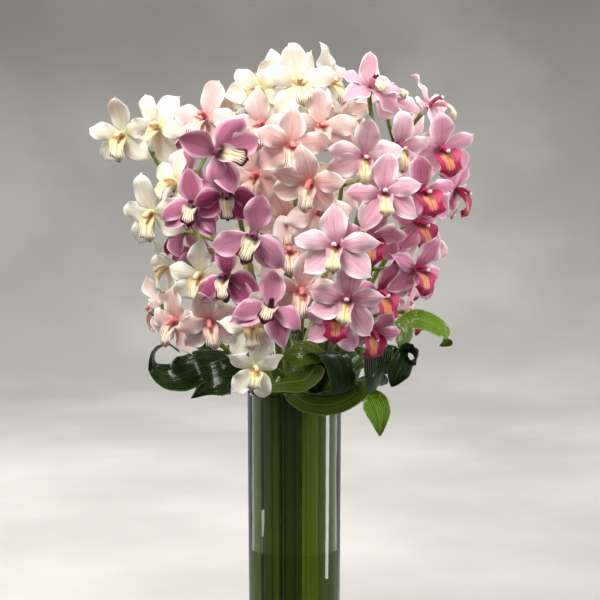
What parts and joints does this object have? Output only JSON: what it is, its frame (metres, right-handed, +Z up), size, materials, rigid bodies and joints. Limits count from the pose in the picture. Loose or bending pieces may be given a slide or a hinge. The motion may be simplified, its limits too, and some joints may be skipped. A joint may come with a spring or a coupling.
{
  "type": "arrangement of cut orchid sprays in a glass cylinder vase",
  "caption": "Tall clear glass cylinder vase with water, cut cymbidium orchid sprays in ivory, magenta, blush, rose and ruby, and a collar of rolled and folded dark leaves.",
  "frame": {"origin": "middle of the vase's foot, on the surface that it stands on", "axes": "+Z up along the vase's axis, +X to the viewer's right, -Y towards the viewer"},
  "size_m": [0.4061, 0.3849, 0.767],
  "materials": {
    "glass": "gloss",
    "water": "gloss",
    "ivory_petals": "satin",
    "magenta_petals": "satin",
    "blush_petals": "satin",
    "rose_petals": "satin",
    "ruby_petals": "satin",
    "leaf_green": "gloss"
  },
  "bodies": {
    "root": {"vase": "glass", "water": "water", "spray_ivory_left": "ivory_petals", "spray_ivory_top": "ivory_petals", "spray_ivory_low": "ivory_petals", "spray_ivory_back": "ivory_petals", "spray_ivory_back_low": "ivory_petals", "spray_magenta": "magenta_petals", "spray_magenta_back": "magenta_petals", "spray_blush_left": "blush_petals", "spray_blush_centre": "blush_petals", "spray_blush_low": "blush_petals", "spray_blush_corner": "blush_petals", "spray_blush_back": "blush_petals", "spray_rose_top": "rose_petals", "spray_rose_centre": "rose_petals", "spray_rose_back": "rose_petals", "spray_ruby_high": "ruby_petals", "spray_ruby_low": "ruby_petals", "spray_ruby_back_low": "ruby_petals", "leaf_front_fold": "leaf_green", "leaf_front_strap": "leaf_green", "leaf_front_roll": "leaf_green", "leaf_hanging": "leaf_green", "leaf_right_fan": "leaf_green", "leaf_right_roll": "leaf_green", "leaf_right_crescent": "leaf_green", "leaf_right_curl": "leaf_green", "leaf_left_point": "leaf_green", "leaf_left_ring": "leaf_green", "leaf_left_tip": "leaf_green", "leaf_back_right": "leaf_green", "leaf_back": "leaf_green", "leaf_back_left": "leaf_green"}
  },
  "joints": []
}
